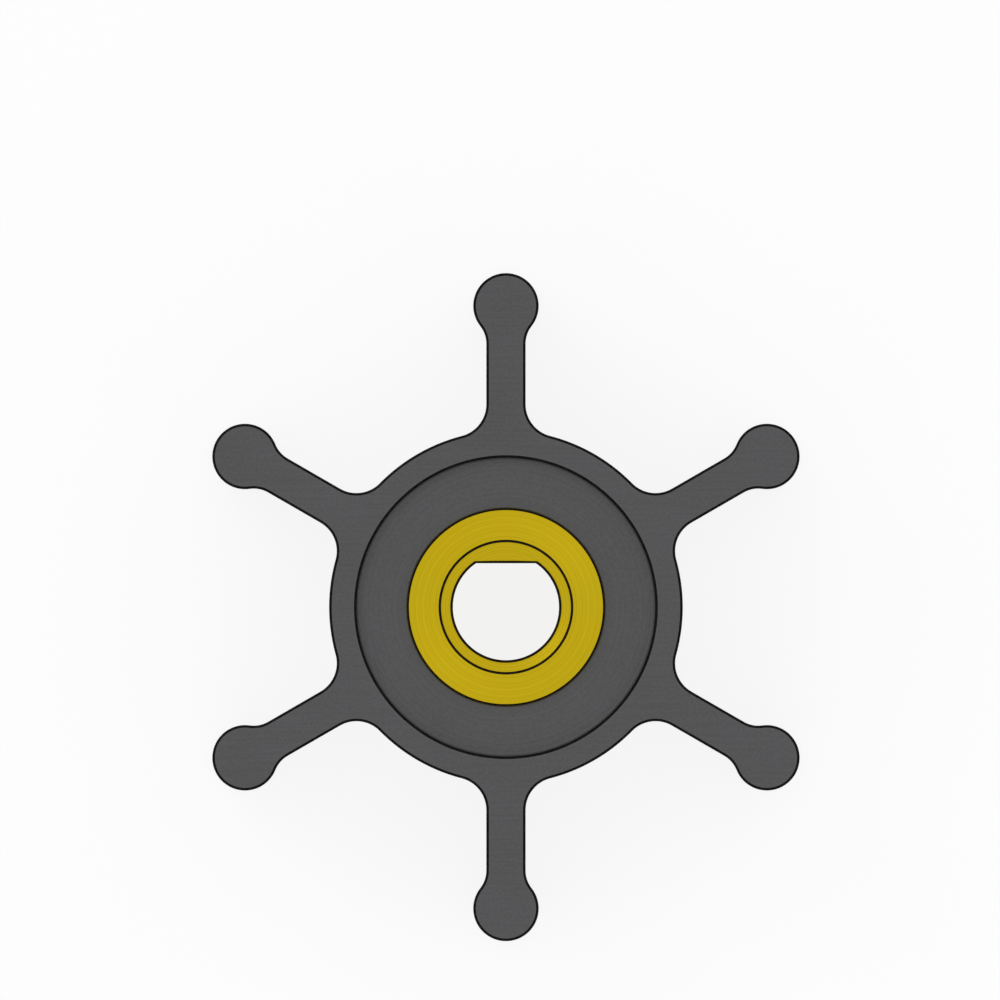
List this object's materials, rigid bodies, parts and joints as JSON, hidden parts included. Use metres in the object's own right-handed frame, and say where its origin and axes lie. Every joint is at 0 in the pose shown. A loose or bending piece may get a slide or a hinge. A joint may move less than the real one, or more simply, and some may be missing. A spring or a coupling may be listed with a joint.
{
  "type": "rubber pump impeller",
  "caption": "Flexible rubber impeller for a small pump: straight radial blades with round beaded tips on a hub moulded round a brass bush with a single-flat bore.",
  "frame": {"origin": "where the impeller's axis meets its back face, the face that it lies on", "axes": "+Z along the shaft's axis, out of the front face; +Y along a blade and towards the flat in the bore"},
  "size_m": [0.0448, 0.051, 0.022],
  "materials": {
    "rubber": "matt moulded rubber",
    "brass": "turned brass"
  },
  "bodies": {
    "root": {"rubber_body": "rubber", "brass_insert": "brass"}
  },
  "joints": []
}
